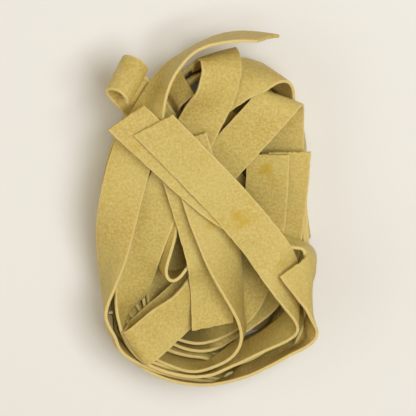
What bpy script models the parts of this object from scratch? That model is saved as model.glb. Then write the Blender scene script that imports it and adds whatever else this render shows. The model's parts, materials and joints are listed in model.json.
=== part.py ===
"""A dry pasta nest: broad egg ribbons wound in loops, pinched to a knot near one corner, and dried.

The nest is one solid, out to the uneven outline of its ribbons: a mound of wound loops, the broad
ribbons that lie across its top, those that stand on edge round its rim, and one end rolled to a curl.
Units are metres. +Z is up, the nest is longest along Y, and the origin is at the middle of its underside.
"""
import math

import bmesh
import bpy
from mathutils import Vector

NEST_WIDTH = 0.0804             # along X, over the outer loops
NEST_LENGTH = 0.1304            # along Y
RIBBON_WIDTH = 0.0155
RIBBON_THICKNESS = 0.0012
RIM_DEPTH = 0.0050              # how far the solid goes on behind a ribbon that stands on edge
CORNER_POWER_FRONT = 3.0        # squareness of the outline at -Y
CORNER_POWER_BACK = 2.7         # and at +Y
BACK_SHARE = 0.85               # how far the loops reach towards +Y, under the arch
BACK_TAPER = 0.08               # how much narrower they are there
# where the loops draw in, beside the knot and at the right: degrees, spread in degrees, share
PINCHES = ((125.0, 24.0, 0.18), (5.0, 20.0, 0.10))
RIPPLE = 0.0005                 # unevenness of the loops round the mound
RIPPLE_SHIFT = 1.7              # by which it shifts from one level to the next, in radians
FOOTING = 0.0030                # how far a top ribbon's solid goes down into the mound
PATH_STEP = 0.004               # between the places that a ribbon's slab is worked out at
VOXEL = 0.0017                  # of the even skin over all the forms
SOFTEN_FACTOR = 0.4
SOFTEN_STEPS = 2
FACE_SHARE = 0.30               # share of the skin's faces that the solid keeps

# height above the underside and inset from the outline, from the foot of the mound to its top
MOUND_PROFILE = (
    (-0.0040, 0.0040),
    (0.0020, 0.0028),
    (0.0080, 0.0022),
    (0.0160, 0.0030),
    (0.0200, 0.0060),
    (0.0230, 0.0110),
    (0.0240, 0.0190),
)
MOUND_TOP = 0.0240
MOUND_SEGMENTS = 72
MOUND_RIPPLES = 5
INNER_PLACE = Vector((0.0, 0.0, 0.012))     # what a ribbon's outer face looks away from

# loops of ribbon on edge round the rim: first and last angle, inset, first and last height of the
# ribbon's middle, and its lean, all angles in degrees
RIM_LOOPS = {
    "low_back": (205, -10, 0.0018, 0.0084, 0.0084, 88),
    "low_front": (215, 345, 0.0014, 0.0090, 0.0088, 86),
    "left_edge": (200, 300, 0.0014, 0.0240, 0.0140, 84),
    "front_outer": (275, 205, 0.0006, 0.0240, 0.0130, 88),
    "front_middle": (328, 240, 0.0020, 0.0200, 0.0130, 88),
    "front_inner": (262, 168, 0.0036, 0.0230, 0.0120, 86),
    "right_wall": (20, -20, 0.0046, 0.0130, 0.0110, 96),
    "right_low": (30, -60, 0.0034, 0.0120, 0.0100, 90),
    "back_middle": (178, 42, 0.0050, 0.0110, 0.0180, 88),
}
RIM_STEP = 8.0                              # degrees between the places that a loop is worked out at

# broad ribbons over the top: x, y, z of the centre line, and how far the ribbon leans, in degrees
TOP_RIBBONS = {
    "long_diagonal": (
        (-0.0215, 0.0357, 0.0392, 0), (-0.0043, 0.0178, 0.0396, 0), (0.0156, -0.0040, 0.0394, 0),
        (0.0262, -0.0184, 0.0380, -12), (0.0318, -0.0310, 0.0338, -52), (0.0320, -0.0400, 0.0300, -92),
        (0.0190, -0.0502, 0.0280, -98), (0.0025, -0.0595, 0.0255, -95)),
    "rim_flap": (
        (0.0303, -0.0166, 0.0408, -10), (0.0348, -0.0236, 0.0378, -34), (0.0372, -0.0320, 0.0340, -66),
        (0.0382, -0.0400, 0.0308, -86), (0.0295, -0.0506, 0.0285, -96), (0.0085, -0.0626, 0.0255, -94)),
    "second_diagonal": (
        (-0.0305, 0.0400, 0.0370, 0), (-0.0069, 0.0148, 0.0375, -3), (0.0092, -0.0006, 0.0329, -40),
        (0.0214, -0.0083, 0.0297, -86), (0.0326, -0.0136, 0.0288, -102), (0.0361, -0.0196, 0.0265, -98),
        (0.0369, -0.0280, 0.0230, -92)),
    "arch": (
        (0.0265, 0.0635, 0.0310, -92), (0.0140, 0.0650, 0.0315, -92), (0.0020, 0.0636, 0.0320, -92),
        (-0.0108, 0.0543, 0.0320, -90), (-0.0182, 0.0418, 0.0310, -97), (-0.0266, 0.0270, 0.0310, -165),
        (-0.0312, 0.0040, 0.0308, -176), (-0.0346, -0.0200, 0.0272, -140)),
    "crest_band": (
        (0.0020, 0.0570, 0.0300, 0), (0.0046, 0.0560, 0.0385, 0), (0.0053, 0.0500, 0.0389, -14),
        (0.0026, 0.0403, 0.0360, -28), (-0.0018, 0.0352, 0.0338, -10), (-0.0146, 0.0097, 0.0292, 0),
        (-0.0242, -0.0140, 0.0258, 0), (-0.0294, -0.0320, 0.0240, -36)),
    "fan": (
        (-0.0080, 0.0290, 0.0360, 0), (-0.0030, 0.0100, 0.0352, -4), (0.0050, -0.0145, 0.0340, -28),
        (0.0098, -0.0290, 0.0318, -70), (0.0127, -0.0410, 0.0296, -91), (0.0096, -0.0515, 0.0275, -97)),
    "short_fan": (
        (-0.0130, 0.0240, 0.0332, 0), (-0.0048, -0.0024, 0.0323, 0), (0.0015, -0.0220, 0.0303, 0),
        (-0.0003, -0.0445, 0.0300, 8)),
    "right_wrap": (
        (-0.0010, 0.0425, 0.0312, -16), (0.0104, 0.0478, 0.0336, -26), (0.0180, 0.0510, 0.0318, -50),
        (0.0250, 0.0518, 0.0268, -92), (0.0296, 0.0484, 0.0226, -112), (0.0304, 0.0320, 0.0164, -112)),
    "right_fold": (
        (0.0020, 0.0145, 0.0305, 0), (0.0122, 0.0273, 0.0345, 0), (0.0235, 0.0410, 0.0358, 0)),
    "right_end_inner": (
        (0.0210, 0.0225, 0.0303, 0), (0.0210, 0.0120, 0.0268, 0), (0.0210, 0.0030, 0.0245, 0)),
    "right_end_outer": (
        (0.0296, 0.0225, 0.0278, -8), (0.0286, 0.0120, 0.0250, -5)),
    "left_broad": (
        (0.0020, -0.0265, 0.0235, -15), (-0.0100, -0.0380, 0.0280, -24), (-0.0268, -0.0517, 0.0292, 0)),
    "inner_end": (
        (-0.0068, 0.0496, 0.0300, 30), (-0.0172, 0.0410, 0.0250, 32)),
}

# the rolled end, and the ribbon that it goes on from
CURL_CENTRE = Vector((-0.0295, 0.0485, 0.0312))
CURL_AXIS = Vector((0.46, 0.63, -0.625))
CURL_RADIUS = 0.0056
CURL_SEGMENTS = 28
CURL_TAIL = ((-0.0243, 0.0446, 0.0264, -27), (-0.0180, 0.0390, 0.0252, -15), (-0.0150, 0.0300, 0.0246, 0))

PASTA_COLOUR = (0.72, 0.55, 0.25, 1.0)
PASTA_ROUGHNESS = 0.62


def outline(angle, inset):
    """A point of the nest's plan outline at an angle in radians, moved in by inset."""
    power = CORNER_POWER_BACK if math.sin(angle) > 0 else CORNER_POWER_FRONT
    reach = (abs(math.cos(angle)) ** power + abs(math.sin(angle)) ** power) ** (-1 / power)
    for middle, spread, share in PINCHES:
        away = (math.degrees(angle) - middle + 180) % 360 - 180
        reach *= 1 - share * math.exp(-(away / spread) ** 2)
    x = (NEST_WIDTH / 2 - inset) * reach * math.cos(angle)
    y = (NEST_LENGTH / 2 - inset) * reach * math.sin(angle)
    if y > 0:
        x *= 1 - BACK_TAPER * y / (NEST_LENGTH / 2)
        y *= BACK_SHARE
    return x, y


def build_mound(bm):
    """The wound loops as one closed, slightly rippled mound."""
    rings = []
    for level, (height, inset) in enumerate(MOUND_PROFILE):
        ring = []
        for k in range(MOUND_SEGMENTS):
            angle = 2 * math.pi * k / MOUND_SEGMENTS
            ripple = RIPPLE * math.sin(MOUND_RIPPLES * angle + RIPPLE_SHIFT * level)
            x, y = outline(angle, inset + ripple + RIPPLE)
            ring.append(bm.verts.new((x, y, height)))
        rings.append(ring)
    for lower, upper in zip(rings, rings[1:]):
        for k in range(MOUND_SEGMENTS):
            after = (k + 1) % MOUND_SEGMENTS
            bm.faces.new((lower[k], lower[after], upper[after], upper[k]))
    bm.faces.new(list(reversed(rings[0])))
    bm.faces.new(rings[-1])


def path_points(points):
    """Evenly spaced places along a smooth curve through a ribbon's points, as (centre, lean)."""
    knots = [Vector(p[:3]) for p in points]
    before = 2 * knots[0] - knots[1]
    after = 2 * knots[-1] - knots[-2]
    knots = [before] + knots + [after]
    result = []
    for k in range(len(points) - 1):
        a, b, c, d = knots[k:k + 4]
        count = max(2, round((c - b).length / PATH_STEP))
        last = 1 if k == len(points) - 2 else 0
        for i in range(count + last):
            s = i / count
            centre = 0.5 * (2 * b + (c - a) * s + (2 * a - 5 * b + 4 * c - d) * s ** 2
                            + (3 * b - 3 * c + d - a) * s ** 3)
            lean = points[k][3] * (1 - s) + points[k + 1][3] * s
            result.append((centre, math.radians(lean)))
    return result


def rim_points(first, last, inset, first_height, last_height, lean):
    """The places along a loop that follows the outline."""
    count = max(2, round(abs(last - first) / RIM_STEP))
    points = []
    for k in range(count + 1):
        share = k / count
        angle = math.radians(first + (last - first) * share)
        x, y = outline(angle, inset)
        points.append((x, y, first_height + (last_height - first_height) * share, lean))
    return points


def build_ribbon(bm, points):
    """A slab whose outer face is the ribbon's, from its first point to its last."""
    places = path_points(points)
    sections = []
    for k, (centre, lean) in enumerate(places):
        ahead = places[min(k + 1, len(places) - 1)][0]
        behind = places[max(k - 1, 0)][0]
        travel = (ahead - behind).normalized()
        side = Vector((0, 0, 1)).cross(travel).normalized()
        across = math.cos(lean) * side + math.sin(lean) * travel.cross(side)
        outward = travel.cross(across)
        if outward.dot(centre - INNER_PLACE) < 0:
            outward.negate()
        on_edge = math.sin(lean) ** 2
        down = Vector((0, 0, MOUND_TOP - FOOTING - centre.z))
        top = outward * RIBBON_THICKNESS / 2
        bottom = down * (1 - on_edge) - outward * RIM_DEPTH * on_edge
        half = across * RIBBON_WIDTH / 2
        corners = (centre - half + bottom, centre + half + bottom, centre + half + top, centre - half + top)
        sections.append([bm.verts.new(corner) for corner in corners])
    for first, second in zip(sections, sections[1:]):
        for k in range(4):
            after = (k + 1) % 4
            bm.faces.new((first[k], first[after], second[after], second[k]))
    bm.faces.new(list(reversed(sections[0])))
    bm.faces.new(sections[-1])


def build_curl(bm):
    """The rolled ribbon end, as a short cylinder on its side, and the ribbon that leads to it."""
    turn = CURL_AXIS.to_track_quat("Z", "Y").to_matrix().to_4x4()
    turn.translation = CURL_CENTRE
    bmesh.ops.create_cone(bm, cap_ends=True, segments=CURL_SEGMENTS, radius1=CURL_RADIUS,
                          radius2=CURL_RADIUS, depth=RIBBON_WIDTH, matrix=turn)
    build_ribbon(bm, CURL_TAIL)


def make_nest(material):
    """All the forms joined into one even skin, and cut flat where the nest rests."""
    mesh = bpy.data.meshes.new("nest")
    bm = bmesh.new()
    build_mound(bm)
    for loop in RIM_LOOPS.values():
        build_ribbon(bm, rim_points(*loop))
    for points in TOP_RIBBONS.values():
        build_ribbon(bm, points)
    build_curl(bm)
    bmesh.ops.recalc_face_normals(bm, faces=bm.faces)
    bm.to_mesh(mesh)
    bm.free()
    nest = bpy.data.objects.new("nest", mesh)
    bpy.context.scene.collection.objects.link(nest)
    mesh.materials.append(material)

    skin = nest.modifiers.new("skin", "REMESH")
    skin.mode = "VOXEL"
    skin.voxel_size = VOXEL
    soften = nest.modifiers.new("soften", "SMOOTH")
    soften.factor = SOFTEN_FACTOR
    soften.iterations = SOFTEN_STEPS
    thin_out = nest.modifiers.new("thin_out", "DECIMATE")
    thin_out.ratio = FACE_SHARE
    keep_outer_skin(nest)
    rest = nest.modifiers.new("rest", "BOOLEAN")
    rest.operation = "DIFFERENCE"
    rest.solver = "EXACT"
    rest.object = make_table_cutter()
    return nest


def keep_outer_skin(nest):
    """Gives the object the mesh that its modifiers make, without the hollows sealed inside it."""
    evaluated = nest.evaluated_get(bpy.context.evaluated_depsgraph_get())
    bm = bmesh.new()
    bm.from_mesh(evaluated.to_mesh())
    evaluated.to_mesh_clear()
    nest.modifiers.clear()
    unseen = set(bm.verts)
    shells = []
    while unseen:
        shell = {unseen.pop()}
        front = list(shell)
        while front:
            vert = front.pop()
            for edge in vert.link_edges:
                other = edge.other_vert(vert)
                if other in unseen:
                    unseen.remove(other)
                    shell.add(other)
                    front.append(other)
        shells.append(shell)
    outer = max(shells, key=len)
    bmesh.ops.delete(bm, geom=[v for v in bm.verts if v not in outer], context="VERTS")
    bm.to_mesh(nest.data)
    bm.free()


def make_table_cutter():
    """The block below the underside, which leaves the flat place that the nest rests on."""
    reach = 2 * NEST_LENGTH
    mesh = bpy.data.meshes.new("table_cutter")
    bm = bmesh.new()
    bmesh.ops.create_cube(bm, size=reach)
    bmesh.ops.translate(bm, verts=bm.verts, vec=(0, 0, -reach / 2))
    bm.to_mesh(mesh)
    bm.free()
    cutter = bpy.data.objects.new("table_cutter", mesh)
    bpy.context.scene.collection.objects.link(cutter)
    cutter.hide_render = True
    cutter.display_type = "WIRE"
    return cutter


def pasta_material():
    """Dried egg dough: pale straw yellow and dull."""
    material = bpy.data.materials.new("dry_egg_pasta")
    material.use_nodes = True
    shader = material.node_tree.nodes["Principled BSDF"]
    shader.inputs["Base Color"].default_value = PASTA_COLOUR
    shader.inputs["Roughness"].default_value = PASTA_ROUGHNESS
    shader.inputs["Metallic"].default_value = 0.0
    return material


def main():
    for old in list(bpy.data.objects):
        bpy.data.objects.remove(old, do_unlink=True)
    make_nest(pasta_material())


main()
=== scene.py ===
"""Dry pasta nest: the looks.

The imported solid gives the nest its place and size. Here its ribbons are cut flat, wound along their
routes and settled on one another. A solver draws them back to their length and pushes them apart; it
comes near to both, but where many cross, some stretch a little or cut into the next. Then they get
their thickness, their cut ends and the finish of dried egg dough. A floor, lights and a camera stand
round them. Routes are in millimetres from the middle of the nest's underside; all else is in metres.
"""

import json
import math

import bpy
import numpy as np
from bpy.props import FloatProperty, FloatVectorProperty, IntProperty, PointerProperty
from bpy.types import Operator, Panel, PropertyGroup
from mathutils import Matrix, Vector

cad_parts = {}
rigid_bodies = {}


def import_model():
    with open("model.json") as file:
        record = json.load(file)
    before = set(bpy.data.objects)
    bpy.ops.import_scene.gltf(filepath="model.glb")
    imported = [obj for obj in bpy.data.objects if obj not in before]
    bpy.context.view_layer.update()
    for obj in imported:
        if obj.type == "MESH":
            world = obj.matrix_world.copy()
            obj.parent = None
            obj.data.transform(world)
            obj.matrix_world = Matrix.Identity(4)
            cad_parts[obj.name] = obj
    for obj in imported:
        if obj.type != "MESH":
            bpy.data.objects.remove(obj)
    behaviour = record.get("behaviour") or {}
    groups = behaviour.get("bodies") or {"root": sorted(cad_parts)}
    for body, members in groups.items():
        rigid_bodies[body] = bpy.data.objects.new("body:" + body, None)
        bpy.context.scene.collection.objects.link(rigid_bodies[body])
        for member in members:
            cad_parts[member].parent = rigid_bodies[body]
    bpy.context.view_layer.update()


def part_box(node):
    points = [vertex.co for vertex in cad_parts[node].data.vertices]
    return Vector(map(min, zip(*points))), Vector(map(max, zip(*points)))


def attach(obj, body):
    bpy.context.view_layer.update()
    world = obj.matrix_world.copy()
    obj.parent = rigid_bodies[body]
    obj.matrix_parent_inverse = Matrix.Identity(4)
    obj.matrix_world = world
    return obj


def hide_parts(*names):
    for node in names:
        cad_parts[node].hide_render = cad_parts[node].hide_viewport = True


bl_info = {
    "name": "Dry Pasta Nest",
    "version": (1, 0, 0),
    "blender": (4, 5, 0),
    "location": "View3D > Sidebar > Nest",
    "description": "Winds a nest of broad egg ribbons and sets it on a studio floor",
    "category": "Add Mesh",
}

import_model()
NEST_LOW, NEST_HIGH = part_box("nest")

MM = 0.001

# the nest's plan, from the solid, in millimetres
HALF_WIDTH = round((NEST_HIGH.x - NEST_LOW.x) / 2 / MM, 1)
HALF_LENGTH = round((NEST_HIGH.y - NEST_LOW.y) / 2 / MM, 1)
TOP = round(NEST_HIGH.z / MM, 1)
LOOP_END_POWER = 3.0  # squareness of the outline at -Y
ARCH_END_POWER = 2.7  # and at +Y
ARCH_END_SHARE = 0.85  # how far the loops reach towards +Y, under the arch
ARCH_END_TAPER = 0.08  # how much narrower the nest is there
# where the loops draw in, beside the curl and at the right: degrees, spread in degrees, share
PINCHES = ((125.0, 24.0, 0.18), (5.0, 20.0, 0.10))

# how finely the ribbons are worked out while they settle
ROW_STEP = 3.1  # millimetres between rows
ACROSS = 6  # points across a ribbon

# The broad ribbons over the top. A point is x, y, z of the centre line and the lean in degrees: 0 lies
# flat, 90 stands on edge, and None takes the lean of its neighbours.
TOP_RIBBONS = {
    "long_diagonal": (
        (-21.5, 35.7, 39.2, 0), (-4.3, 17.8, 39.6, 0), (9.6, 3.9, 39.6, 0), (15.6, -4, 39.4, 0),
        (21.6, -11.4, 38.9, -4), (26.2, -18.4, 38, -12), (29.4, -25, 36.2, -28), (31.8, -31, 33.8, -52),
        (32.8, -36, 31.5, -76), (32, -40, 30, -92), (27.8, -44.2, 29, -99), (19, -50.2, 28, -100),
        (10.3, -55.2, 27, -99), (2.5, -59.5, 25.5, -97)),
    "rim_end": (
        (30.6, -16.4, 39.8, -10), (33, -19.2, 39.2, -18), (35.4, -23.4, 37.8, -34), (37, -29, 35.4, -54),
        (38.4, -35, 32.8, -72), (38.9, -40, 30.8, -86), (36.3, -45, 29.5, -97), (29.8, -50.6, 28.5, -99),
        (18.1, -58.2, 27, -99), (8.5, -62.6, 25.5, -97)),
    "double_outer": (
        (-30.5, 40, 37, 0), (-18.5, 27, 37.4, 0), (-6.9, 14.8, 37.5, -3), (1.2, 5.8, 36.6, -15),
        (9.2, -0.6, 32.9, -40), (15.6, -5, 30.8, -64), (21.8, -8.1, 29.7, -86), (28, -10, 29.3, -102),
        (33.4, -13.2, 28.8, -104), (37, -19.2, 26.5, -98), (37.8, -28, 23, -92)),
    "arch": (
        (26.5, 63.5, 31, -92), (14, 65, 31.5, -93), (2, 63.6, 32, -92), (-6, 60, 32, -90),
        (-10.8, 54.3, 32, -89), (-14.8, 48.5, 32, -89), (-18.2, 41.8, 31, -97), (-22.4, 35, 30.2, -128),
        (-26.6, 27, 31, -165), (-30, 16, 31, -180), (-31.5, 4, 30.8, -176), (-33.4, -8, 29.6, -160),
        (-35.4, -20, 27.2, -136)),
    "fan_two": (
        (-8, 29, 36, 0), (-5, 21, 36, 0), (-3, 10, 35.2, -4), (0.5, -1, 34.6, -12), (5, -14.5, 34, -28),
        (7.8, -22.5, 33, -50), (9.8, -29, 31.8, -70), (11.6, -35, 30.7, -82), (12.7, -41, 29.6, -91),
        (13, -46.5, 28.3, -97), (9.6, -51.5, 27.5, -100), (3, -57, 26, -98)),
    "short_fan": (
        (-13, 24, 33.2, 0), (-10.3, 18.4, 33.4, 0), (-7, 9, 33.2, 0), (-4.8, -2.4, 32.3, 0),
        (-1.4, -11.4, 31.3, 0), (1.5, -22, 30.3, 0), (2.2, -31.6, 29.8, 4), (-0.3, -44.5, 30, 8)),
    "band": (
        (0, 51, 6, None), (1, 54.5, 16, None), (2, 57.5, 26, 0), (3.2, 58.6, 34, 0), (4.2, 57.6, 38.2, 0),
        (5, 55, 39.3, 0), (5.3, 50, 38.9, -14), (5, 45.5, 37.8, -30), (2.6, 40.3, 36, -28),
        (-1.8, 35.2, 33.8, -10), (-8.5, 23.5, 31.2, 0), (-14.6, 9.7, 29.2, 0), (-20, -4.7, 27.2, 0),
        (-24.2, -14, 25.8, 0), (-27.2, -23.3, 24.8, -14), (-29.4, -32, 24, -36), (-30.6, -41, 23, -62)),
    "right_wrap": (
        (-1, 42.5, 31.2, -16), (5, 45.8, 32.8, -20), (10.2, 48.1, 33.6, -25), (14.2, 50.4, 33.2, -34),
        (16.8, 52, 31.8, -50), (19.6, 52.7, 29.3, -76), (22.4, 52.5, 26.6, -95), (25, 51.2, 24.6, -106),
        (27, 48.4, 22.4, -114), (28.3, 44.4, 20.4, -118), (29.2, 39.2, 18.4, -118),
        (30, 32.5, 16.2, -115), (31.2, 24, 14, -107), (33, 14, 12, -98)),
    "right_fold": (
        (2, 14.5, 30.5, 0), (6.3, 20.2, 32.3, 0), (12.2, 27.3, 34.5, 0), (18, 34.5, 35.8, 0),
        (22.4, 39.7, 36.2, 0), (24.5, 42.3, 34.5, 0), (25.7, 43.2, 31.2, None), (26.3, 41.3, 27.7, None),
        (26.9, 36.5, 25.6, 180), (27.4, 27, 22.6, 180), (27.2, 14, 17.6, 180), (26.8, 1, 14, 180),
        (26, -13, 12.5, 180), (22.5, -27, 12, 180), (15, -41, 11, 180), (7, -51, 10.5, 172)),
    "right_end_inner": (
        (21, 22.5, 30.3, 0), (21, 12, 26.8, 0), (21, 1, 22.2, 0), (20.3, -12, 20.3, 0),
        (18.2, -24, 19.3, 0), (13.4, -34, 18.2, 0), (7.4, -40.6, 17, 8), (1.4, -46.6, 15.5, 30)),
    "right_end_outer": (
        (29.6, 22.5, 27.8, -8), (28.6, 12, 24.3, -5), (27.4, 2, 20.2, 0), (27, -9, 18.2, 0),
        (27.2, -20, 17.6, 0), (23.2, -31.4, 17, 0), (15.8, -40.8, 15.6, 6), (7.8, -48, 14.4, 28)),
    "left_broad": (
        (17, -11, 13.4, 0), (9.5, -18.5, 17, 0), (2, -26.5, 21.4, -15), (-4.5, -33, 25.2, -30),
        (-10, -38, 28, -24), (-15.5, -42.3, 29.8, -10), (-22, -47.5, 30, 0), (-26.8, -51.7, 28.8, 0),
        (-28.9, -53.3, 26.2, None), (-27.6, -52, 23.4, None), (-23.6, -47.3, 22, 180),
        (-15.6, -41.3, 20.3, 180), (-6.6, -34.3, 17.8, 180), (3.4, -26.3, 15, 180),
        (12.4, -17.3, 12.2, 180), (18.5, -7, 10.6, 180), (23, 6, 9.6, 180)),
    "inner_end": (
        (-6.8, 49.6, 30, 30), (-12.2, 46, 28, 32), (-17.2, 41, 24.4, 32), (-21.6, 34, 21.2, 20),
        (-25, 25, 20, 6), (-27.5, 13, 18.8, 0), (-29.5, 0, 17.5, -10), (-31.5, -14, 16, -35),
        (-32.5, -26, 15, -60)),
    "curl": (
        (-24.3, 44.6, 26.4, 153), (-18, 39, 25.2, 165), (-15, 30, 24.6, 180), (-15, 18, 24.6, 195),
        (-17, 6, 24.8, 215), (-18.6, -6, 25.2, 228), (-18.6, -15, 25.6, 232), (-17.3, -22, 26, 236),
        (-13.6, -25.4, 26.3, 246), (-9.3, -22.6, 26, 256), (-4, -17.5, 25.4, 262), (2, -12, 24, 262)),
}
# how those that end round the rim go on there: first and last angle, inset, height and lean
RIM_LOOPS = {
    "long_diagonal": (258, 168, 3.8, 4.2, 23, 11, -95, -84),
    "rim_end": (265, 215, 0.6, 0.6, 23, 14, -95, -86),
    "double_outer": (328, 195, 2.2, 3.0, 20, 8.6, -90, -86),
    "arch": (205, 320, 1.3, 1.7, 23.5, 10, -98, -88),
    "fan_two": (262, 165, 6.2, 6.6, 22, 9, -96, -84),
    "band": (232, 345, 5.3, 5.4, 22, 10, -82, -88),
    "right_wrap": (5, -80, 4.6, 5.0, 11.5, 9, -96, -92),
    "right_fold": (263, 190, 8.4, 8.4, 10.5, 8.5, 120, 94),
    "right_end_inner": (258, 205, 13.4, 13.0, 13.5, 10, 55, 92),
    "right_end_outer": (262, 215, 10.8, 10.6, 12.5, 9, 60, 92),
    "inner_end": (217, 335, 9.2, 9.4, 12.5, 8.5, -75, -90),
}
# from where to where a ribbon is firm, in millimetres along it, and keeps harder to its route
FIRM_PARTS = {
    "rim_end": (0, 14), "fan_two": (40, 88), "right_wrap": (6, 52), "inner_end": (0, 14), "curl": (0, 27)}
# how often a route is smoothed, where it isn't ROUTE_FAIRING
FAIRINGS = {"right_wrap": 3, "right_fold": 3, "left_broad": 3, "curl": 0}
FIRMNESS = 6.0  # how much harder a firm part keeps to its route
NOT_FIRM = (0.0, 0.0)

# the rolled end that the curl ribbon starts with
ROLL_CENTRE = (-29.5, 48.3, 31.2)
ROLL_AXIS = (0.46, 0.63, -0.625)  # along the roll, to its lower end
ROLL_RADII = (4.9, 5.7)
ROLL_TURN = 272.0
ROLL_POINTS = 9

# loops round the foot of the nest, as round its rim
FOOT_LOOPS = {
    "foot_outer": (215, -15, 1.7, 1.7, 8.3, 8.3, -92, -88),
    "foot_inner": (120, -60, 7.5, 7.2, 8.3, 8.3, -90, -90),
    "wall_back": (42, 178, 7.0, 4.6, 20, 10, 92, 88),
}
# yolk stains: middle and radius, in millimetres
STAINS = (((13, 1, 39.5), 8.5), ((-26, -52, 30), 7.5), ((3, -1, 35), 6.0), ((20, 16, 28), 6.5))

LOOP_STEP = 22.0  # degrees between the points of a loop
LOOP_WAVE = 1.3  # how far a loop strays up and down, in millimetres
LOOP_SWAY = 7.0  # and how far its lean strays, in degrees
LOOP_WAVES = 2.6  # how often it does so on one turn
LOOP_SHIFT = 50.0  # and how far on it starts, in degrees for each millimetre of inset
ROUTE_FAIRING = 6
CURVE_PLACES = 3000  # places worked out along a route before it is divided into rows
STEEPEST = 0.3  # a route this steep keeps the lean that it had
LEAN_FAIRING = 5
FEWEST_ROWS = 6

# ribbons that cross the heart of the nest
HEART_RIBBONS = {
    "heart_low_a": (
        (-23, 40, 3, 0), (-14, 29, 2, 0), (-5, 15, 1.3, 0), (3, -1, 1.3, 0), (12, -17, 1.5, 0),
        (17, -34, 2.5, 0), (17.6, -44, 4, -5), (17.6, -52, 5.5, -10)),
    "heart_low_b": (
        (19, 40, 5, 0), (11, 26, 3, 0), (2, 11, 3, 0), (-6, -5, 2.6, 0), (-14, -20, 2, 0),
        (-21, -35, 2.5, 0), (-24, -49, 5, 10)),
    "heart_right": (
        (20, 29, 9, 0), (20, 13, 7, 0), (18, -4, 6, 0), (14, -22, 6, 0), (7, -37, 6, 0), (-2, -50, 7, 0)),
    "heart_left": (
        (-18, 41, 9, 0), (-20, 26, 8, 0), (-20, 9, 8, 0), (-17, -9, 9, 0), (-11, -27, 10, 0),
        (-2, -42, 11, 0)),
    "heart_cross_a": (
        (9, 37, 21, 0), (3, 25, 18, 0), (-1, 11, 16, 0), (-5, -5, 15, 0), (-10, -20, 13.5, 0),
        (-17, -35, 12, 0), (-24, -47, 11, -10)),
    "heart_cross_b": (
        (-10, 37, 21, 0), (-5, 24, 18.5, 0), (3, 11, 16.5, 0), (12, -1, 15.6, 0), (17, -8, 15.6, 0)),
}

# how far each ribbon's first and last end are cut back, in millimetres, at its right and its left edge
END_CUTS = {
    "long_diagonal": ((0, 4.4), (0, 1)),
    "rim_end": ((0, 0.6), (0, 1)),
    "double_outer": ((0, 4), (0, 2)),
    "arch": ((9, 0), (0, 1)),
    "short_fan": ((0, 0.8), (0, 3)),
    "fan_two": ((0.6, 0), (0, 2)),
    "inner_end": ((0.8, 0), (1, 0)),
    "right_end_inner": ((0, 0), (0, 1)),
    "right_end_outer": ((0.4, 0), (1, 0)),
    "curl": ((0, 1.5), (2, 0)),
}
PLAIN_CUTS = ((0, 1), (1, 0))  # of the ribbons that it leaves out
END_REACH = 14.0  # a slanted cut is blended in over this much of the ribbon
END_JAG = 0.35  # and its tear is this rough
EDGE_JAG = 0.10  # roughness of the long edges
JAG_WAVE = 2.0  # and its spacing along an edge
END_FRAY = 0.5  # share of a jag that differs from point to point, at the ends
EDGE_FRAY = 0.4  # and along the edges
CUP = 0.22  # how far a dry ribbon's faces stray from flat
CUP_WAVE = 17.0  # and over which length
EDGE_CUP = 0.7  # the edges' own share of it
CUP_LEVEL = 0.4  # taken off, so that a cupped ribbon stays about its route
SUBDIVISIONS = 2
BEVEL_SEGMENTS = 2

# the dough's noises: how many to the metre, detail and roughness
PATCH_NOISE = (38.0, 3.0, 0.5)
CLOUD_NOISE = (150.0, 4.0, 0.6)
GRAIN_NOISE = (1050.0, 4.0, 0.6)
ROLLER_NOISE = (700.0, 2.0, 0.5)
FINE_NOISE = (1500.0, 3.0, 0.7)
ROLLER_STRETCH = 0.12  # across the ribbon, so that the marks run along it
# the values of each that give none and all of it
PATCH_RANGE = (0.34, 0.66)
GRAIN_RANGE = (0.36, 0.64)
ROLLER_RANGE = (0.35, 0.65)
# where the cloud alone stains the dough faintly: from, to, and how much
CLOUD_STAIN = (0.62, 0.76, 0.0, 0.35)
# a stain: the full middle's share of its radius, its fall, its raggedness, and where it shows and how much
STAIN_CORE = 0.25
STAIN_FALL = (-0.5, 0.15)
STAIN_RAGGED = 2.2
STAIN_SHOWS = (0.9, 1.4, 0.0, 0.9)
EDGE_HIGHLIGHT_SHOWS = 0.75  # how much of the paler colour, a painted highlight, the long edges get
GRAIN_BUMP = (0.55, 0.00012)  # strength and depth
ROLLER_BUMP = (0.6, 0.00012)
FINE_BUMP = (0.4, 0.00005)
ROUGHNESS_RANGE = (0.52, 0.72)
SPECULAR = 0.35
GLOW_WEIGHT = 0.3  # light that passes under the dough's surface
GLOW_RADIUS = (1.0, 0.5, 0.12)
GLOW_SCALE = 0.003

# the stage
FLOOR_SIZE = 6.0
FLOOR_ROUGHNESS = 0.85
FLOOR_COLOUR = (0.80, 0.82, 0.84)
WORLD_COLOUR = (1.0, 0.80, 0.50)
WORLD_STRENGTH = 0.39
# name, place from the nest's middle, size and power in watts
LIGHTS = (
    ("key", (0.24, 0.13, 0.82), 0.42, 5.15),
    ("fill", (-0.50, -0.10, 0.50), 0.60, 0.9),
)
CAMERA_TILT = 12.0  # degrees from straight down, towards +Y
CAMERA_DISTANCE = 1.3
VIEW_WIDTH = 0.152  # width of the camera's view at the nest's middle
SENSOR = 36.0


# ---------------------------------------------------------------- routes


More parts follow.
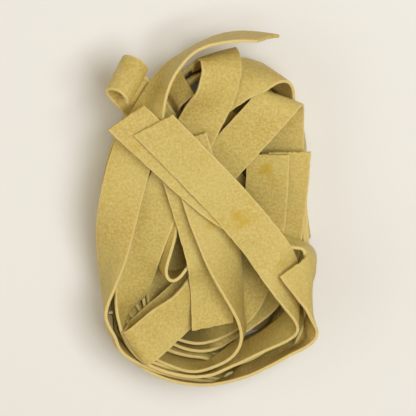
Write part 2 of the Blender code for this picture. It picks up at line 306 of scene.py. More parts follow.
def outline(degrees, inset):
    """A place on the loops' outline in plan, moved in by inset: squarish, pinched, and tapered to +Y."""
    c, s = math.cos(math.radians(degrees)), math.sin(math.radians(degrees))
    power = ARCH_END_POWER if s > 0 else LOOP_END_POWER
    reach = (abs(c) ** power + abs(s) ** power) ** (-1 / power)
    for middle, spread, share in PINCHES:
        away = (degrees - middle + 180) % 360 - 180
        reach *= 1 - share * math.exp(-(away / spread) ** 2)
    x = (HALF_WIDTH - inset) * reach * c
    y = (HALF_LENGTH - inset) * reach * s
    if y > 0:
        x *= 1 - ARCH_END_TAPER * y / HALF_LENGTH
        y *= ARCH_END_SHARE
    return x, y


def between(span, share):
    """The value a share of the way along a span."""
    return span[0] + (span[1] - span[0]) * share


def loop_points(first, last, *spans):
    """The points of a loop that follows the outline, and strays a little from it."""
    insets, heights, leans = zip(spans[::2], spans[1::2])
    count = max(2, round(abs(last - first) / LOOP_STEP))
    points = []
    for k in range(count + 1):
        share = k / count
        angle = between((first, last), share)
        wave = math.radians(LOOP_WAVES * angle + LOOP_SHIFT * insets[0])
        stray = math.sin(wave) * math.sin(math.pi * share)
        height = between(heights, share) + LOOP_WAVE * stray
        lean = between(leans, share) + LOOP_SWAY * stray
        points.append((*outline(angle, between(insets, share)), height, lean))
    return points


def roll_points():
    """The points of the curl's rolled end, from its free edge round to where the ribbon leaves it."""
    axis = Vector(ROLL_AXIS).normalized()
    out = Vector((0, 0, 1)).cross(axis).normalized()
    up = axis.cross(out)
    points = []
    for k in range(ROLL_POINTS):
        share = k / (ROLL_POINTS - 1)
        turn = math.radians(ROLL_TURN * (1 - share) - 90)
        radius = between(ROLL_RADII, share)
        place = Vector(ROLL_CENTRE) + radius * (math.cos(turn) * out + math.sin(turn) * up)
        points.append((*place, None))
    return points


def route_of(name):
    """A ribbon's points, how much its route is faired, and which part of its length is firm."""
    points = list({**TOP_RIBBONS, **HEART_RIBBONS}.get(name, ()))
    loop = {**RIM_LOOPS, **FOOT_LOOPS}.get(name)
    if loop:
        points += loop_points(*loop)
    if name == "curl":
        points = roll_points() + points
    return points, FAIRINGS.get(name, ROUTE_FAIRING), FIRM_PARTS.get(name, NOT_FIRM)


def unit(vectors):
    """The same directions with length one."""
    return vectors / (np.linalg.norm(vectors, axis=-1, keepdims=True) + 1e-12)


def smooth_curve(knots, values, at):
    """A cubic curve through values at knots, worked out at the given places."""
    slopes = np.zeros_like(values)
    gap = np.diff(knots)[:, None]
    chord = np.diff(values, axis=0) / gap
    slopes[1:-1] = (chord[:-1] * gap[1:] + chord[1:] * gap[:-1]) / (gap[1:] + gap[:-1])
    slopes[0] = 1.5 * chord[0] - 0.5 * slopes[1]
    slopes[-1] = 1.5 * chord[-1] - 0.5 * slopes[-2]
    k = np.clip(np.searchsorted(knots, at, side="right") - 1, 0, len(knots) - 2)
    h = gap[k]
    s = ((at - knots[k]) / gap[k, 0])[:, None]
    return ((2 * s ** 3 - 3 * s ** 2 + 1) * values[k] + (s ** 3 - 2 * s ** 2 + s) * h * slopes[k]
            + (-2 * s ** 3 + 3 * s ** 2) * values[k + 1] + (s ** 3 - s ** 2) * h * slopes[k + 1])


def lay_route(points, fairing):
    """Rows along a route, ROW_STEP apart: each one's middle, and which way the ribbon is wide."""
    places = np.array([p[:3] for p in points], float)
    knots = np.concatenate([[0], np.cumsum(np.linalg.norm(np.diff(places, axis=0), axis=1) ** 0.5)])
    fine = np.linspace(0, knots[-1], CURVE_PLACES)
    curve = smooth_curve(knots, places, fine)
    run = np.concatenate([[0], np.cumsum(np.linalg.norm(np.diff(curve, axis=0), axis=1))])
    rows = max(FEWEST_ROWS, round(run[-1] / ROW_STEP) + 1)
    at = np.interp(np.linspace(0, run[-1], rows), run, fine)
    middle = smooth_curve(knots, places, at)
    for _ in range(fairing):
        kink = middle[:-4] - 4 * middle[1:-3] + 6 * middle[2:-2] - 4 * middle[3:-1] + middle[4:]
        middle[2:-2] -= kink / 16
    travel = unit(np.gradient(curve, axis=0))[np.clip(np.searchsorted(fine, knots), 0, len(fine) - 1)]
    wide, wide_at = [], []
    for knot, ahead, point in zip(knots, travel, points):
        if point[3] is None or math.hypot(ahead[0], ahead[1]) < STEEPEST:
            continue
        side = unit(np.cross([0, 0, 1.0], ahead))
        lean = math.radians(point[3])
        wide.append(math.cos(lean) * side + math.sin(lean) * np.cross(ahead, side))
        wide_at.append(knot)
    wide = np.array(wide)
    across = np.stack([np.interp(at, wide_at, wide[:, k]) for k in range(3)], axis=1)
    ahead = unit(np.gradient(middle, axis=0))
    for _ in range(LEAN_FAIRING):
        across = unit(across - ahead * (across * ahead).sum(1)[:, None])
        across[1:-1] = across[:-2] + 2 * across[1:-1] + across[2:]
    return middle, unit(across - ahead * (across * ahead).sum(1)[:, None])


# ---------------------------------------------------------------- settling


class Winding:
    """All ribbons as thin sheets of points, in millimetres, which settle as they widen."""

    GROW_STEPS = 200  # while the ribbons widen from a cord to their full width
    REST_STEPS = 200  # and after that
    FIRST_WIDTH = 0.15
    FIRST_PULL = 0.06  # how hard a ribbon is drawn to its route, at first and at last
    LAST_PULL = 0.012
    BEND = 0.25  # stiffness against curving more than the route does
    FAIRING = 0.5
    SINKING = 0.015  # how far a step lets everything sink
    REACH = 3.0  # how near a neighbour is watched
    CELL = 6.0
    CORNER_REACH = 2.4  # from a triangle's middle to its furthest corner
    BESIDE = 4.1  # rows of the same ribbon that are too near to be a neighbour
    OVERLAP = 0.06  # how far beside a triangle a point still faces it, as a share
    SURE = 0.4  # how far off a ribbon's middle has to be to tell its side
    BLOCK = 7  # rows of a ribbon that share a remembered side
    MARGIN = 1.5  # how far the ribbons may stand out of the solid's sides
    FULL_GROWN = 0.6  # share of the widening after which the pull weakens
    MOST_PULL = 0.3
    AIR = 1.08  # distance aimed at between ribbons, in thicknesses
    FIRST_GAP = 0.4  # share of that distance while they are still cords
    LOOK_STEPS = 6  # steps between two searches for neighbours
    PASSES = 3  # of each step
    LAST_PUSHES = 24  # steps at the end that only part the ribbons
    LAST_LOOK_STEPS = 4
    MOST_PUSH = 1.0
    EAGER = 1.3  # a push goes this much further than it needs to
    UNBEND = 0.3  # a ribbon bent less than its route is drawn back more softly
    NEXT_BUT_ONE = 0.8  # stiffness across two columns
    EDGE_TO_EDGE = 0.6  # and across the whole ribbon

    def __init__(self, names, width, thickness):
        self.width, self.thickness = width, thickness
        self.names = names
        middles, acrosses, firmness = [], [], []
        for name in names:
            points, fairing, firm = route_of(name)
            middle, across = lay_route(points, fairing)
            middles.append(middle)
            acrosses.append(across)
            run = np.arange(len(middle)) * ROW_STEP
            firmness.append(np.where((run >= firm[0]) & (run < firm[1]), FIRMNESS, 1.0))
        self.rows = [len(middle) for middle in middles]
        total = sum(self.rows)
        self.middle = np.repeat(np.concatenate(middles), ACROSS, axis=0)
        self.across = np.repeat(np.concatenate(acrosses), ACROSS, axis=0)
        self.firmness = np.repeat(np.concatenate(firmness), ACROSS)
        self.offset = np.tile(np.linspace(-width / 2, width / 2, ACROSS), total)
        self.ribbon = np.repeat(np.arange(len(names)), [r * ACROSS for r in self.rows])
        self.row = np.concatenate([np.repeat(np.arange(r), ACROSS) for r in self.rows])
        self.column = np.tile(np.arange(ACROSS), total)
        self.row_count = np.array(self.rows)[self.ribbon]
        self.link_points()
        self.list_triangles()
        self.x = self.goal(self.FIRST_WIDTH)

    def goal(self, share):
        """Where the routes would have every point, with the ribbons at a share of their width."""
        return self.middle + self.across * (self.offset * share)[:, None]

    def link_points(self):
        """Pairs of points whose distance is kept, in groups in which no point comes twice."""
        index = np.arange(len(self.row))
        gap = self.width / (ACROSS - 1)
        below = self.row + 1 < self.row_count
        self.links = []

        def group(chosen, down, side, stiffness):
            first = index[chosen]
            along, wide = (down * ROW_STEP) ** 2, (side * gap) ** 2
            self.links.append((first, first + down * ACROSS + side, along, wide, stiffness))

        for parity in (0, 1):
            even_row = self.row % 2 == parity
            group(even_row & below, 1, 0, 1.0)
            group((self.column % 2 == parity) & (self.column + 1 < ACROSS), 0, 1, 1.0)
            group(even_row & below & (self.column + 1 < ACROSS), 1, 1, 1.0)
            group(even_row & below & (self.column > 0), 1, -1, 1.0)
            group(((self.column % 4) // 2 == parity) & (self.column + 2 < ACROSS), 0, 2,
                  self.NEXT_BUT_ONE)
        group(self.column == 0, 0, ACROSS - 1, self.EDGE_TO_EDGE)
        self.bends = []
        for parity in (0, 1):
            first = index[((self.row % 4) // 2 == parity) & (self.row + 2 < self.row_count)]
            second = first + 2 * ACROSS
            chord = np.linalg.norm(self.middle[second] - self.middle[first], axis=1)
            self.bends.append((first, second, np.minimum(chord, 2 * ROW_STEP)))
        self.inner_rows = index[(self.row >= 2) & (self.row < self.row_count - 2)]

    def list_triangles(self):
        """Every ribbon as triangles, which the other ribbons' points are kept off."""
        start = 0
        triangles = []
        for rows in self.rows:
            i, j = np.meshgrid(np.arange(rows - 1), np.arange(ACROSS - 1), indexing="ij")
            a = (start + i * ACROSS + j).ravel()
            b, c, d = a + ACROSS, a + ACROSS + 1, a + 1
            triangles += [np.stack([a, b, c], axis=1), np.stack([a, c, d], axis=1)]
            start += rows * ACROSS
        self.triangles = np.concatenate(triangles)
        self.triangle_ribbon = self.ribbon[self.triangles[:, 0]]
        self.triangle_row = self.row[self.triangles[:, 0]]
        self.blocks = max(self.rows) // self.BLOCK + 1
        self.sides = np.zeros((len(self.row), len(self.rows) * self.blocks), np.int8)

    def draw_back(self, first, second, rest, stiffness, softer=1.0):
        """Moves pairs of points back to their distance, and those too far apart more softly."""
        x = self.x
        gap = x[second] - x[first]
        length = np.sqrt(np.einsum("ij,ij->i", gap, gap)) + 1e-9
        stiffness = np.where(length < rest, stiffness, stiffness * softer)
        move = (0.5 * stiffness * (length - rest) / length)[:, None] * gap
        x[first] += move
        x[second] -= move

    def keep_lengths(self, share, bend):
        """Draws linked points back to their distance, and bent ribbons to the bend of their routes."""
        for first, second, along, wide, stiffness in self.links:
            self.draw_back(first, second, math.sqrt(along + wide * share * share), stiffness)
        if bend:
            for first, second, rest in self.bends:
                self.draw_back(first, second, rest, bend, self.UNBEND)

    def fair(self):
        """Takes small kinks out of every ribbon, along its length."""
        x, i, a = self.x, self.inner_rows, ACROSS
        kink = x[i - 2 * a] - 4 * x[i - a] + 6 * x[i] - 4 * x[i + a] + x[i + 2 * a]
        x[i] -= kink * (self.FAIRING / 16 / self.firmness[i])[:, None]

    def near_pairs(self, centres):
        """Every point with the triangles near it, found through a grid of cells."""
        x = self.x
        low = np.minimum(x.min(0), centres.min(0)) - self.CELL
        size = ((np.maximum(x.max(0), centres.max(0)) + self.CELL - low) // self.CELL + 1).astype(int)

        def key(cell):
            return (cell[:, 0] * size[1] + cell[:, 1]) * size[2] + cell[:, 2]

        keys = key(((centres - low) // self.CELL).astype(int))
        order = np.argsort(keys, kind="stable")
        keys = keys[order]
        cells = ((x - low) // self.CELL).astype(int)
        points, triangles = [], []
        for dx in (-1, 0, 1):
            for dy in (-1, 0, 1):
                lowest = key(cells + [dx, dy, -1])
                start = np.searchsorted(keys, lowest, side="left")
                count = np.searchsorted(keys, lowest + 2, side="right") - start
                point = np.repeat(np.arange(len(x)), count)
                first = np.repeat(start - np.concatenate([[0], np.cumsum(count)[:-1]]), count)
                triangle = order[first + np.arange(len(point))]
                away = x[point] - centres[triangle]
                near = np.einsum("ij,ij->i", away, away) < (self.REACH + self.CORNER_REACH) ** 2
                points.append(point[near])
                triangles.append(triangle[near])
        return np.concatenate(points), np.concatenate(triangles)

    def find_contacts(self):
        """Lists the points that face a triangle of another ribbon, and on which side of it each belongs."""
        x = self.x
        corner = [x[self.triangles[:, k]] for k in range(3)]
        point, triangle = self.near_pairs(sum(corner) / 3)
        same = self.ribbon[point] == self.triangle_ribbon[triangle]
        beside = np.abs(self.row[point] - self.triangle_row[triangle] - 0.5) < self.BESIDE
        point, triangle = point[~(same & beside)], triangle[~(same & beside)]
        a, b, c = (q[triangle] for q in corner)
        ab, ac, ap = b - a, c - a, x[point] - a
        normal = np.cross(ab, ac)
        square = (normal * normal).sum(1) + 1e-12
        share_b = (np.cross(ap, ac) * normal).sum(1) / square
        share_c = (np.cross(ab, ap) * normal).sum(1) / square
        shares = np.stack([1 - share_b - share_c, share_b, share_c], axis=1)
        distance = (ap * normal).sum(1) / np.sqrt(square)
        facing = (shares > -self.OVERLAP).all(1) & (np.abs(distance) < self.REACH)
        point, triangle, shares, distance = (q[facing] for q in (point, triangle, shares, distance))
        normal = normal[facing] / np.sqrt(square[facing])[:, None]
        block = self.triangle_row[triangle] // self.BLOCK
        slot = self.triangle_ribbon[triangle] * self.blocks + block
        known = self.sides[point, slot]
        before = self.sides[point, np.maximum(slot - 1, 0)] * (block > 0)
        after = self.sides[point, np.minimum(slot + 1, self.sides.shape[1] - 1)] * (block < self.blocks - 1)
        middle = point - self.column[point] + ACROSS // 2
        foot = sum(shares[:, k:k + 1] * corner[k][triangle] for k in range(3))
        middle_distance = ((x[middle] - foot) * normal).sum(1)
        fresh = np.where(np.abs(middle_distance) > self.SURE, np.sign(middle_distance), np.sign(distance))
        nearby = np.where(before != 0, before, np.where(after != 0, after, fresh))
        side = np.where(known != 0, known, nearby)
        self.sides[:] = 0
        self.sides[point, slot] = side.astype(np.int8)
        self.contacts = (point, self.triangles[triangle], shares, side.astype(float))

    def push_apart(self, gap):
        """Moves points that are too near another ribbon, or through it, back to their side of it."""
        point, triangle, shares, side = self.contacts
        x = self.x
        a, b, c = (x[triangle[:, k]] for k in range(3))
        normal = unit(np.cross(b - a, c - a))
        foot = shares[:, :1] * a + shares[:, 1:2] * b + shares[:, 2:] * c
        distance = ((x[point] - foot) * normal).sum(1) * side
        touching = distance < gap
        point, triangle, shares, side, normal, distance = (
            q[touching] for q in (point, triangle, shares, side, normal, distance))
        if not len(point):
            return
        push = np.minimum(gap - distance, self.MOST_PUSH) / (1 + (shares * shares).sum(1))
        move = normal * (push * side)[:, None]
        total = np.zeros_like(x)
        count = np.bincount(point, minlength=len(x)).astype(float)
        for axis in range(3):
            total[:, axis] += np.bincount(point, move[:, axis], len(x))
            for k in range(3):
                total[:, axis] -= np.bincount(triangle[:, k], move[:, axis] * shares[:, k], len(x))
        for k in range(3):
            count += np.bincount(triangle[:, k], shares[:, k], len(x))
        x += total / np.maximum(count, 1)[:, None] * self.EAGER

    def keep_inside(self):
        """Keeps the ribbons on the table and within the nest's box."""
        half = self.thickness / 2
        wide, long = HALF_WIDTH + self.MARGIN - half, HALF_LENGTH + self.MARGIN - half
        self.x[:, 0] = np.clip(self.x[:, 0], -wide, wide)
        self.x[:, 1] = np.clip(self.x[:, 1], -long, long)
        self.x[:, 2] = np.clip(self.x[:, 2], half, TOP - half)

    def settle(self):
        """Widens the ribbons along their routes and lets them come to rest; returns their points."""
        gap = self.thickness * self.AIR
        for step in range(self.GROW_STEPS + self.REST_STEPS):
            grown = min(1.0, step / self.GROW_STEPS)
            width = between((self.FIRST_WIDTH, 1), grown)
            late = max(0, grown - self.FULL_GROWN)
            pull = self.FIRST_PULL + (self.LAST_PULL - self.FIRST_PULL) * late / (1 - self.FULL_GROWN)
            draw = np.minimum(pull * self.firmness, self.MOST_PULL)[:, None]
            self.x += draw * (self.goal(width) - self.x)
            self.x[:, 2] -= self.SINKING
            if step % self.LOOK_STEPS == 0:
                self.find_contacts()
            self.fair()
            for _ in range(self.PASSES):
                self.keep_lengths(width, self.BEND)
                self.push_apart(gap * min(1, between((self.FIRST_GAP, 1), width)))
            self.keep_inside()
        for step in range(self.LAST_PUSHES):
            if step % self.LAST_LOOK_STEPS == 0:
                self.find_contacts()
            self.push_apart(gap)
            self.keep_inside()
            self.keep_lengths(1.0, 0)
            self.push_apart(gap)
        return [self.x[self.ribbon == k] for k in range(len(self.names))]


# ---------------------------------------------------------------- ribbons as meshes


def deselect():
    """Selects nothing."""
    for chosen in bpy.context.selected_objects:
        chosen.select_set(False)


def activate(piece):
    """Selects one piece alone and makes it the active one."""
    deselect()
    piece.select_set(True)
    bpy.context.view_layer.objects.active = piece


def cut_ribbon(name, width):
    """A flat ribbon at the origin, of its real width and length, with a UV map in metres."""
    points, fairing, _ = route_of(name)
    rows = len(lay_route(points, fairing)[0])
    length = (rows - 1) * ROW_STEP * MM
    deselect()
    bpy.ops.mesh.primitive_grid_add(x_subdivisions=ACROSS - 1, y_subdivisions=rows - 1, size=1.0)
    ribbon = bpy.context.object
    ribbon.name = ribbon.data.name = name
    bpy.ops.transform.resize(value=(width, length, 1.0))
    bpy.ops.object.transform_apply(location=True, rotation=True, scale=True)
    for corner in ribbon.data.uv_layers.active.data:
        corner.uv = (corner.uv.x * width, corner.uv.y * length)
    return ribbon


def soft_noise(rng, count, spacing, wave):
    """Even, smooth noise of about one unit along a line of points."""
    knots = max(4, int(count * spacing / wave) + 4)
    return np.interp(np.linspace(0, knots - 1, count), np.arange(knots), rng.uniform(-1, 1, knots))


def sheet_order(mesh):
    """The vertex indices of a ribbon's sheet, as rows along it and columns across."""
    corners = np.zeros(len(mesh.loops), int)
    mesh.loops.foreach_get("vertex_index", corners)
    uv = np.zeros(2 * len(mesh.loops))
    mesh.uv_layers.active.data.foreach_get("uv", uv)
    place = np.zeros((len(mesh.vertices), 2))
    place[corners] = uv.reshape(-1, 2)
    order = np.lexsort((place[:, 0].round(6), place[:, 1].round(6)))
    columns = (ACROSS - 1) * 2 ** SUBDIVISIONS + 1
    return order.reshape(-1, columns)


def cut_back(sheet, cuts, jag):
    """Shortens the first rows of a sheet of points by a slanted, torn cut. Works on the array in place."""
    step = np.linalg.norm(sheet[1:] - sheet[:-1], axis=2).mean()
    rows = min(len(sheet) - 1, int(END_REACH * MM / step))
    run = np.arange(rows + 1)
    part = sheet[:rows + 1].copy()
    for column in range(sheet.shape[1]):
        share = column / (sheet.shape[1] - 1)
        back = (cuts[0] * (1 - share) + cuts[1] * share + jag[column]) * MM / step
        at = back + run * (rows - back) / rows
        for axis in range(3):
            sheet[:rows + 1, column, axis] = np.interp(at, run, part[:, column, axis])


def weather_sheet(ribbon, rng, lowest):
    """Gives a ribbon's sheet slanted, torn ends, slightly uneven edges and slightly warped faces."""
    mesh = ribbon.data
    order = sheet_order(mesh)
    flat = np.zeros(3 * len(mesh.vertices))
    mesh.vertices.foreach_get("co", flat)
    sheet = flat.reshape(-1, 3)[order]
    rows, columns = order.shape
    spacing = ROW_STEP / 2 ** SUBDIVISIONS
    first_cuts, last_cuts = END_CUTS.get(ribbon.name, PLAIN_CUTS)
    for part, cuts in ((sheet, first_cuts), (sheet[::-1], last_cuts)):
        tear = np.abs(soft_noise(rng, columns, spacing, JAG_WAVE))
        tear += END_FRAY * np.abs(rng.uniform(-1, 1, columns))
        cut_back(part, cuts, END_JAG * tear)
    across = unit(np.gradient(sheet, axis=1))
    normal = unit(np.cross(np.gradient(sheet, axis=0), across))
    from_middle = np.linspace(-1, 1, columns)
    bow = soft_noise(rng, rows, spacing, CUP_WAVE)[:, None] * (from_middle ** 2 - CUP_LEVEL)
    for side in (-1, 1):
        lift = soft_noise(rng, rows, spacing, CUP_WAVE / 2)[:, None]
        bow += EDGE_CUP * (lift * np.clip(side * from_middle, 0, 1) ** 2)
    sheet += normal * (bow * CUP * MM)[:, :, None]
    for column in (0, columns - 1):
        jag = soft_noise(rng, rows, spacing, JAG_WAVE) + EDGE_FRAY * rng.uniform(-1, 1, rows)
        sheet[:, column] += across[:, column] * (jag * EDGE_JAG * MM)[:, None]
    sheet[:, :, 2] = np.maximum(sheet[:, :, 2], lowest)
    flat.reshape(-1, 3)[order] = sheet
    mesh.vertices.foreach_set("co", flat)
    mesh.update()


def apply_modifier(piece, kind, **values):
    """Adds a modifier with its values to a piece, and applies it."""
    activate(piece)
    bpy.ops.object.modifier_add(type=kind)
    modifier = piece.modifiers[-1]
    for name, value in values.items():
        setattr(modifier, name, value)
    bpy.ops.object.modifier_apply(modifier=modifier.name)


def ribbon_names():
    """All ribbons, in the order in which they are wound."""
    return list(TOP_RIBBONS) + list(FOOT_LOOPS) + list(HEART_RIBBONS)


# ---------------------------------------------------------------- finish


def set_input(tree, socket, value):
    """Links a socket to another one, or gives it a value."""
    if isinstance(value, bpy.types.NodeSocket):
        tree.links.new(value, socket)
    else:
        socket.default_value = value


def add_node(tree, kind, place, **inputs):
    """A node at its place in the tree, with links or values on its sockets."""
    node = tree.nodes.new(kind)
    node.location = place
    for name, value in inputs.items():
        set_input(tree, node.inputs[name.replace("_", " ")], value)
    return node


def calculate(tree, place, operation, *values, kind="ShaderNodeMath"):
    """The result of a Math node, or of a Vector Math node, on sockets or values."""
    node = add_node(tree, kind, place)
    node.operation = operation
    for socket, value in zip(node.inputs, values):
        set_input(tree, socket, value)
    return node.outputs["Value"]


def mix_colours(tree, place, factor, first, second):
    """The result of a Mix node for colours. The factor and both colours may be sockets or values."""
    node = add_node(tree, "ShaderNodeMix", place)
    node.data_type = "RGBA"
    for number, value in ((0, factor), (6, first), (7, second)):
        set_input(tree, node.inputs[number], value)
    return node.outputs[2]


def map_range(tree, place, value, low, high, to_low=0.0, to_high=1.0):
    """The result of a Map Range node."""
    node = add_node(tree, "ShaderNodeMapRange", place, Value=value, From_Min=low, From_Max=high,
                    To_Min=to_low, To_Max=to_high)
    return node.outputs["Result"]


def noise(tree, place, vector, scale, detail, roughness):
    """The result of a Noise Texture."""
    node = add_node(tree, "ShaderNodeTexNoise", place, Vector=vector, Scale=scale, Detail=detail,
                    Roughness=roughness)
    return node.outputs["Fac"]


def add_stain(tree, place, solid, cloud, stain, centre, radius):
    """Adds one yolk stain, round a place in millimetres and ragged at its edge, to the stains so far."""
    x, y = place
    away = calculate(tree, place, "DISTANCE", solid, Vector(centre) * MM, kind="ShaderNodeVectorMath")
    near = map_range(tree, (x + 200, y), away, radius * MM, STAIN_CORE * radius * MM, *STAIN_FALL)
    ragged = calculate(tree, (x + 400, y), "MULTIPLY_ADD", cloud, STAIN_RAGGED, near)
    deep = map_range(tree, (x + 600, y), ragged, *STAIN_SHOWS)
    return calculate(tree, (x + 800, y), "MAXIMUM", stain, deep)


def dough_material(nest):
    """Dried egg dough: mottled straw yellow, fine-grained, with faint roller marks and a painted highlight,
    a paler colour, along the long edges.
    """
    material = bpy.data.materials.new("dried_egg_dough")
    material.use_nodes = True
    tree = material.node_tree
    solid = add_node(tree, "ShaderNodeTexCoord", (-1600, 200)).outputs["Object"]
    flat = add_node(tree, "ShaderNodeUVMap", (-1600, -300)).outputs["UV"]
    across = add_node(tree, "ShaderNodeSeparateXYZ", (-1400, -300), Vector=flat).outputs["X"]

    patches = map_range(tree, (-900, 600), noise(tree, (-1150, 600), solid, *PATCH_NOISE), *PATCH_RANGE)
    grain = map_range(tree, (-900, 350), noise(tree, (-1150, 350), solid, *GRAIN_NOISE), *GRAIN_RANGE)
    cloud = noise(tree, (-1150, 100), solid, *CLOUD_NOISE)
    stain = map_range(tree, (-900, 100), cloud, *CLOUD_STAIN)
    for number, (centre, radius) in enumerate(STAINS):
        stain = add_stain(tree, (-1400, 900 + 200 * number), solid, cloud, stain, centre, radius)

    drawn = add_node(tree, "ShaderNodeMapping", (-1400, -550), Vector=flat,
                     Scale=(ROLLER_STRETCH, 1.0, 1.0))
    streaks = noise(tree, (-1150, -550), drawn.outputs["Vector"], *ROLLER_NOISE)
    roller = map_range(tree, (-900, -550), streaks, *ROLLER_RANGE)

    # painted highlight: a paler colour near each long edge stands in for the light that catches the edges
    other_edge = calculate(tree, (-1200, -300), "SUBTRACT", nest.ribbon_width, across)
    nearest = calculate(tree, (-1050, -300), "MINIMUM", across, other_edge)
    rim = map_range(tree, (-900, -300), nearest, 0.0, nest.edge_highlight_reach, EDGE_HIGHLIGHT_SHOWS, 0.0)

    base = mix_colours(tree, (-600, 500), patches, (*nest.dough_colour, 1.0), (*nest.dough_dark, 1.0))
    shown = map_range(tree, (-600, 250), grain, 0.0, 1.0, 0.0, nest.grain_share)
    softened = mix_colours(tree, (-400, 400), shown, base, (*nest.grain_colour, 1.0))
    stained = mix_colours(tree, (-200, 300), stain, softened, (*nest.stain_colour, 1.0))
    # the painted edge highlight is laid over the dough here
    edge_highlighted = mix_colours(tree, (0, 200), rim, stained, (*nest.edge_highlight_colour, 1.0))
    rough = map_range(tree, (0, -50), grain, 0.0, 1.0, *ROUGHNESS_RANGE)

    fine = noise(tree, (-600, -700), solid, *FINE_NOISE)
    bumps = ((grain, GRAIN_BUMP), (roller, ROLLER_BUMP), (fine, FINE_BUMP))
    normal = None
    for number, (height, (strength, depth)) in enumerate(bumps):
        node = add_node(tree, "ShaderNodeBump", (200 * number - 300, -500), Height=height,
                        Strength=strength, Distance=depth)
        if normal:
            tree.links.new(normal, node.inputs["Normal"])
        normal = node.outputs["Normal"]

    shader = tree.nodes["Principled BSDF"]
    for name, value in (("Base Color", edge_highlighted), ("Roughness", rough), ("Normal", normal),
                        ("Specular IOR Level", SPECULAR), ("Subsurface Weight", GLOW_WEIGHT),
                        ("Subsurface Radius", GLOW_RADIUS), ("Subsurface Scale", GLOW_SCALE)):
        set_input(tree, shader.inputs[name], value)
    return material


def plain_material(name, colour, roughness):
    """A material of one colour, for the stage."""
    material = bpy.data.materials.new(name)
    material.use_nodes = True
    shader = material.node_tree.nodes["Principled BSDF"]
    shader.inputs["Base Color"].default_value = (*colour, 1.0)
    shader.inputs["Roughness"].default_value = roughness
    return material


# ---------------------------------------------------------------- add-on


def length_setting(name, description, default, low, high):
    """A length in metres that a user may change."""
    return FloatProperty(name=name, description=description, default=default, min=low, max=high,
                         subtype="DISTANCE", unit="LENGTH")


def colour_setting(name, description, default):
    """A colour that a user may change."""
    return FloatVectorProperty(name=name, description=description, default=default, min=0, max=1,
                               subtype="COLOR")


class NestSettings(PropertyGroup):
    """What a user would change about the nest."""

    ribbon_width: length_setting("Ribbon width", "Width of every ribbon", 0.0155, 0.005, 0.03)
    ribbon_thickness: length_setting(
        "Ribbon thickness", "Thickness of the rolled dough, dry", 0.00115, 0.0005, 0.003)
    edge_round: length_setting("Edge rounding", "Rounding of the cut edges", 0.00022, 0.0, 0.0005)
    # painted highlight: how far the paler edge colour reaches in from the long edges
    edge_highlight_reach: length_setting(
        "Pale edge", "How far the paler colour of a cut edge reaches in", 0.0007, 0.0001, 0.003)
    dough_colour: colour_setting("Dough", "Main colour of the dough", (0.55, 0.44, 0.125))
    dough_dark: colour_setting("Deeper dough", "Colour of the deeper patches", (0.48, 0.356, 0.076))
    grain_colour: colour_setting("Grain", "Colour of the floury grain", (0.665, 0.56, 0.215))
    grain_share: FloatProperty(name="Grain strength", description="How much the grain shows",
                               default=0.75, min=0.0, max=1.0, subtype="FACTOR")
    stain_colour: colour_setting("Yolk stain", "Colour of the yellower stains", (0.52, 0.37, 0.035))
    # painted highlight: the paler colour along the long edges, not a colour of the dough
    edge_highlight_colour: colour_setting("Cut edge", "Colour of the cut edges", (0.73, 0.59, 0.26))
    seed: IntProperty(name="Seed", description="Chooses the small unevenness of the ribbons", default=7)


STEP_OPTIONS = {"REGISTER", "UNDO"}


def cut_group(context, names):
    """Cuts a group of ribbons flat."""
    width = context.scene.pasta_nest.ribbon_width
    for name in names:
        cut_ribbon(name, width)


class NEST_OT_cut_top_ribbons(Operator):
    """Cut the broad ribbons that lie over the top of the nest, flat and at their real length"""

    bl_idname = "nest.cut_top_ribbons"
    bl_label = "Cut Top Ribbons"
    bl_options = STEP_OPTIONS

    def execute(self, context):
        cut_group(context, TOP_RIBBONS)
        return {"FINISHED"}


class NEST_OT_cut_foot_loops(Operator):
    """Cut the ribbons that are wound round the foot of the nest"""

    bl_idname = "nest.cut_foot_loops"
    bl_label = "Cut Foot Loops"
    bl_options = STEP_OPTIONS

    def execute(self, context):
        cut_group(context, FOOT_LOOPS)
        return {"FINISHED"}


class NEST_OT_cut_heart_ribbons(Operator):
    """Cut the ribbons that cross the heart of the nest"""

    bl_idname = "nest.cut_heart_ribbons"
    bl_label = "Cut Heart Ribbons"
    bl_options = STEP_OPTIONS

    def execute(self, context):
        cut_group(context, HEART_RIBBONS)
        return {"FINISHED"}


class NEST_OT_wind(Operator):
    """Wind the flat ribbons along their routes and let them settle on one another"""

    bl_idname = "nest.wind"
    bl_label = "Wind the Nest"
    bl_options = STEP_OPTIONS

    def execute(self, context):
        nest = context.scene.pasta_nest
        names = ribbon_names()
        winding = Winding(names, nest.ribbon_width / MM, nest.ribbon_thickness / MM)
        for name, points in zip(names, winding.settle()):
            mesh = bpy.data.objects[name].data
            if len(mesh.vertices) != len(points):
                raise RuntimeError(f"{name} was cut with {len(mesh.vertices)} points, not {len(points)}")
            mesh.vertices.foreach_set("co", (points * MM).ravel())
            mesh.update()
        return {"FINISHED"}


class NEST_OT_dry(Operator):
    """Give the wound ribbons their thickness, their cut ends and the finish of dried dough"""

    bl_idname = "nest.dry"
    bl_label = "Dry the Nest"
    bl_options = STEP_OPTIONS

    def execute(self, context):
        nest = context.scene.pasta_nest
        dough = dough_material(nest)
        for number, name in enumerate(ribbon_names()):
            ribbon = bpy.data.objects[name]
            apply_modifier(ribbon, "SUBSURF", levels=SUBDIVISIONS, render_levels=SUBDIVISIONS,
                           boundary_smooth="PRESERVE_CORNERS")
            rng = np.random.default_rng(nest.seed * 100 + number)
            weather_sheet(ribbon, rng, nest.ribbon_thickness / 2)
            apply_modifier(ribbon, "SOLIDIFY", thickness=nest.ribbon_thickness, offset=0.0)
            apply_modifier(ribbon, "BEVEL", width=nest.edge_round, segments=BEVEL_SEGMENTS,
                           limit_method="ANGLE")
            activate(ribbon)
            bpy.ops.object.shade_smooth()
            ribbon.data.materials.clear()
            ribbon.data.materials.append(dough)
            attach(ribbon, "root")
            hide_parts("nest")
        return {"FINISHED"}


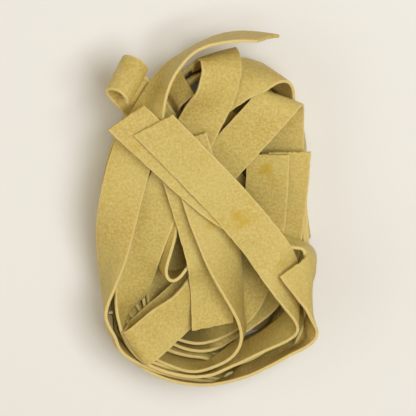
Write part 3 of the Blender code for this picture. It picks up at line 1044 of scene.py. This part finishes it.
class NEST_OT_stage(Operator):
    """Set the floor, the soft studio lights and the camera"""

    bl_idname = "nest.stage"
    bl_label = "Set the Stage"
    bl_options = STEP_OPTIONS

    def execute(self, context):
        deselect()
        bpy.ops.mesh.primitive_plane_add(size=FLOOR_SIZE)
        floor = context.object
        floor.name = "floor"
        floor.data.materials.append(plain_material("pale_floor", FLOOR_COLOUR, FLOOR_ROUGHNESS))
        target = Vector((0.0, 0.0, NEST_HIGH.z / 2))
        for name, place, size, power in LIGHTS:
            add_light(name, target + Vector(place), target, size, power)
        set_world()
        add_camera(context, target)
        context.scene.view_settings.view_transform = "Standard"
        return {"FINISHED"}


def add_light(name, place, target, size, power):
    """A square area light that faces the target."""
    bpy.ops.object.light_add(type="AREA", location=place)
    light = bpy.context.object
    light.name = name
    light.data.size = size
    light.data.energy = power
    light.rotation_euler = (target - place).to_track_quat("-Z", "Y").to_euler()


def set_world():
    """An even, warm light from all round."""
    world = bpy.data.worlds.new("studio")
    world.use_nodes = True
    background = world.node_tree.nodes["Background"]
    background.inputs["Color"].default_value = (*WORLD_COLOUR, 1.0)
    background.inputs["Strength"].default_value = WORLD_STRENGTH
    bpy.context.scene.world = world


def add_camera(context, target):
    """A camera that looks down on the nest, from a little towards its +Y end."""
    tilt = math.radians(CAMERA_TILT)
    back = Vector((0.0, math.sin(tilt), math.cos(tilt)))
    up = Vector((0.0, math.cos(tilt), -math.sin(tilt)))
    bpy.ops.object.camera_add()
    camera = context.object
    camera.name = "camera"
    turn = Matrix((up.cross(back), up, back)).transposed()
    camera.matrix_world = Matrix.Translation(target + back * CAMERA_DISTANCE) @ turn.to_4x4()
    camera.data.sensor_width = SENSOR
    camera.data.lens = SENSOR * CAMERA_DISTANCE / VIEW_WIDTH
    context.scene.camera = camera


STEPS = (
    ("nest.cut_top_ribbons", "MESH_GRID"),
    ("nest.cut_foot_loops", "MESH_TORUS"),
    ("nest.cut_heart_ribbons", "MESH_PLANE"),
    ("nest.wind", "FORCE_VORTEX"),
    ("nest.dry", "MATERIAL"),
    ("nest.stage", "SCENE"),
)


class NEST_PT_panel(Panel):
    """The nest's sizes, colours and steps, in the sidebar"""

    bl_idname = "NEST_PT_panel"
    bl_label = "Dry Pasta Nest"
    bl_space_type = "VIEW_3D"
    bl_region_type = "UI"
    bl_category = "Nest"

    def draw(self, context):
        nest = context.scene.pasta_nest
        column = self.layout.column(align=True)
        for name in NestSettings.__annotations__:
            column.prop(nest, name)
        column = self.layout.column(align=True)
        for step, icon in STEPS:
            column.operator(step, icon=icon)


CLASSES = (
    NestSettings,
    NEST_OT_cut_top_ribbons,
    NEST_OT_cut_foot_loops,
    NEST_OT_cut_heart_ribbons,
    NEST_OT_wind,
    NEST_OT_dry,
    NEST_OT_stage,
    NEST_PT_panel,
)


def register():
    for cls in CLASSES:
        bpy.utils.register_class(cls)
    bpy.types.Scene.pasta_nest = PointerProperty(type=NestSettings)


def unregister():
    del bpy.types.Scene.pasta_nest
    for cls in reversed(CLASSES):
        bpy.utils.unregister_class(cls)


def main():
    register()
    bpy.ops.nest.cut_top_ribbons()
    bpy.ops.nest.cut_foot_loops()
    bpy.ops.nest.cut_heart_ribbons()
    bpy.ops.nest.wind()
    bpy.ops.nest.dry()
    bpy.ops.nest.stage()


if __name__ == "__main__":
    main()
